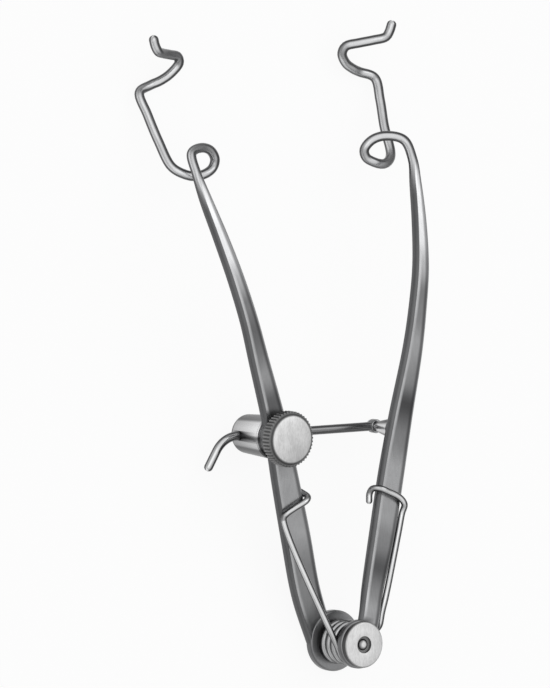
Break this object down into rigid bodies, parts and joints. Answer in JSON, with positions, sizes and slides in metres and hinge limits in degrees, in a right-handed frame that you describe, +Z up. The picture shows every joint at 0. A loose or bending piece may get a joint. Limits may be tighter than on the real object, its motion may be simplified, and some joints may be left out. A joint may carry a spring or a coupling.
{
  "type": "eye speculum",
  "caption": "Sprung wire-blade eye speculum: strip arms on a capped hinge, held open by a guide rod and a knurled thumbscrew.",
  "frame": {"origin": "bottom centre of the bounding box, on the surface that the speculum lies on with its blades and its hinge eye", "axes": "+Y from the hinge towards the blades, +X towards the right arm, +Z up"},
  "size_m": [0.0372, 0.0796, 0.0115],
  "materials": {
    "polished_steel": "polished stainless steel",
    "satin_steel": "fine satin stainless steel",
    "spring_steel": "bright drawn wire"
  },
  "bodies": {
    "left_arm_body": {"left_arm": "polished_steel", "hinge_pin": "polished_steel", "hinge_cap": "satin_steel", "hinge_sleeve": "polished_steel", "torsion_spring": "spring_steel"},
    "right_arm_body": {"right_arm": "polished_steel", "pivot_post": "polished_steel", "rod_keeper": "polished_steel"},
    "rod_body": {"guide_rod": "spring_steel"},
    "post_body": {"lock_post": "satin_steel", "post_collar": "polished_steel"},
    "screw_body": {"thumbscrew": "satin_steel"}
  },
  "joints": [
    {"name": "arm_hinge", "type": "hinge", "parent": "left_arm_body", "child": "right_arm_body", "pos_m": [0, -0.03589, 0.00271], "axis": [0, -0.2219, 0.9751], "range_deg": [0, 18], "stiffness_Nm_per_rad": 0.004, "springref_deg": -20.05, "deforming": ["torsion_spring"]},
    {"name": "rod_pivot", "type": "hinge", "parent": "right_arm_body", "child": "rod_body", "pos_m": [0.00905, -0.01103, 0.00837], "axis": [0, -0.2219, 0.9751], "range_deg": [-9, 0]},
    {"name": "post_swivel", "type": "hinge", "parent": "left_arm_body", "child": "post_body", "pos_m": [-0.00905, -0.01103, 0.00837], "axis": [0, -0.2219, 0.9751], "range_deg": [0, 9]},
    {"name": "thumbscrew_turn", "type": "hinge", "parent": "post_body", "child": "screw_body", "pos_m": [-0.00905, -0.01103, 0.00837], "axis": [0, -0.2219, 0.9751], "range_deg": [0, 360]}
  ],
  "couplings": [
    {"joint": "rod_pivot", "follows": "arm_hinge", "ratio": -0.5},
    {"joint": "post_swivel", "follows": "arm_hinge", "ratio": 0.5}
  ]
}
